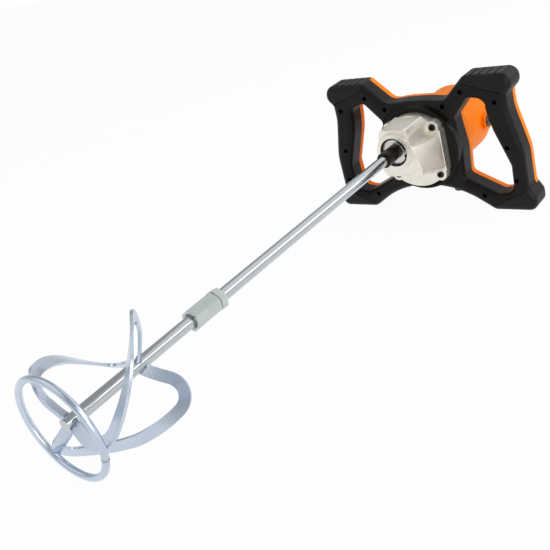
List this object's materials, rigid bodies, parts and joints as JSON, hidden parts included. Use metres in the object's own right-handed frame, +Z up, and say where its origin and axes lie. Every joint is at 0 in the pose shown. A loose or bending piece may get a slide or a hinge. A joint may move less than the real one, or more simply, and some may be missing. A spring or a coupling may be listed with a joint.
{
  "type": "mixing drill",
  "caption": "Two-hand mixing drill: black and orange shells with hand loops, aluminium gear housing, and a long steel paddle with twisted blades and a ring.",
  "frame": {"origin": "middle of the base of the bounding box, on the ground on which the tool lies", "axes": "+Y from the paddle towards the motor, +Z up, +X towards the trigger side; the spindle slopes down to the paddle by about 5 degrees, as the tool lies on its lower bumpers and paddle"},
  "size_m": [0.312, 0.8044, 0.194],
  "materials": {
    "black_plastic": "fine spark texture",
    "orange_plastic": "fine spark texture",
    "bumper_rubber": "satin",
    "cast_aluminium": "die cast, lightly blasted",
    "zinc_steel": "zinc plated",
    "black_steel": "black oxide",
    "bearing_steel": "ground",
    "bronze": "sintered",
    "gear_steel": "oiled",
    "iron_stack": "laminated",
    "copper": "enamelled wire",
    "fan_plastic": "satin",
    "carbon": "matt",
    "brass_sheet": "folded sheet",
    "dark_plastic": "satin"
  },
  "bodies": {
    "housing": {"front_shell": "black_plastic", "rear_shell": "orange_plastic", "bumper_upper_left": "bumper_rubber", "bumper_upper_right": "bumper_rubber", "bumper_lower_left": "bumper_rubber", "bumper_lower_right": "bumper_rubber", "shell_screws": "black_steel", "gear_housing": "cast_aluminium", "gear_housing_screws": "black_steel", "bearing_plate": "cast_aluminium", "spindle_bearing": "bearing_steel", "spindle_circlip": "black_steel", "spindle_bush": "bronze", "intermediate_front_bush": "bronze", "intermediate_rear_bush": "bronze", "armature_front_bearing": "bearing_steel", "armature_rear_bearing": "bearing_steel", "field_stack": "iron_stack", "field_coils": "copper", "fan_baffle": "dark_plastic", "brush_holders": "brass_sheet", "carbon_brushes": "carbon", "brush_caps": "dark_plastic", "switch_body": "dark_plastic", "speed_module": "dark_plastic", "cord_inlet_bush": "bumper_rubber"},
    "spindle": {"spindle": "black_steel", "output_gear": "gear_steel", "upper_rod": "zinc_steel", "lock_nut": "zinc_steel", "coupling_nut": "zinc_steel", "lower_rod": "zinc_steel", "mixer_blade_1": "zinc_steel", "mixer_blade_2": "zinc_steel", "mixer_blade_3": "zinc_steel", "mixer_ring": "zinc_steel"},
    "intermediate": {"intermediate_shaft": "gear_steel", "intermediate_gear": "gear_steel"},
    "armature": {"armature_shaft": "gear_steel", "armature_stack": "iron_stack", "armature_windings": "copper", "commutator": "copper", "cooling_fan": "fan_plastic"},
    "trigger": {"trigger": "dark_plastic"},
    "lock_button": {"lock_button": "dark_plastic"},
    "speed_dial": {"speed_dial": "dark_plastic"}
  },
  "joints": [
    {"name": "spindle_spin", "type": "hinge", "parent": "housing", "child": "spindle", "pos_m": [0, 0.20181, 0.11158], "axis": [0, 0.9962, 0.0871], "continuous": true},
    {"name": "intermediate_spin", "type": "hinge", "parent": "housing", "child": "intermediate", "pos_m": [0.01991, 0.24331, 0.09616], "axis": [0, 0.9962, 0.0871], "continuous": true},
    {"name": "armature_spin", "type": "hinge", "parent": "housing", "child": "armature", "pos_m": [0, 0.31357, 0.09625], "axis": [0, 0.9962, 0.0871], "continuous": true},
    {"name": "trigger_pull", "type": "slide", "parent": "housing", "child": "trigger", "axis": [1, 0, 0], "range_m": [0, 0.005], "stiffness_N_per_m": 600, "springref_m": -0.004},
    {"name": "lock_press", "type": "slide", "parent": "housing", "child": "lock_button", "axis": [0, -0.9962, -0.0871], "range_m": [0, 0.003], "stiffness_N_per_m": 500, "springref_m": -0.003},
    {"name": "dial_turn", "type": "hinge", "parent": "housing", "child": "speed_dial", "pos_m": [0.062, 0.30375, 0.16265], "axis": [0, 0.9962, 0.0871], "range_deg": [0, 270]}
  ],
  "couplings": [
    {"joint": "intermediate_spin", "follows": "spindle_spin", "ratio": -2.6667},
    {"joint": "armature_spin", "follows": "spindle_spin", "ratio": 8.8889}
  ]
}
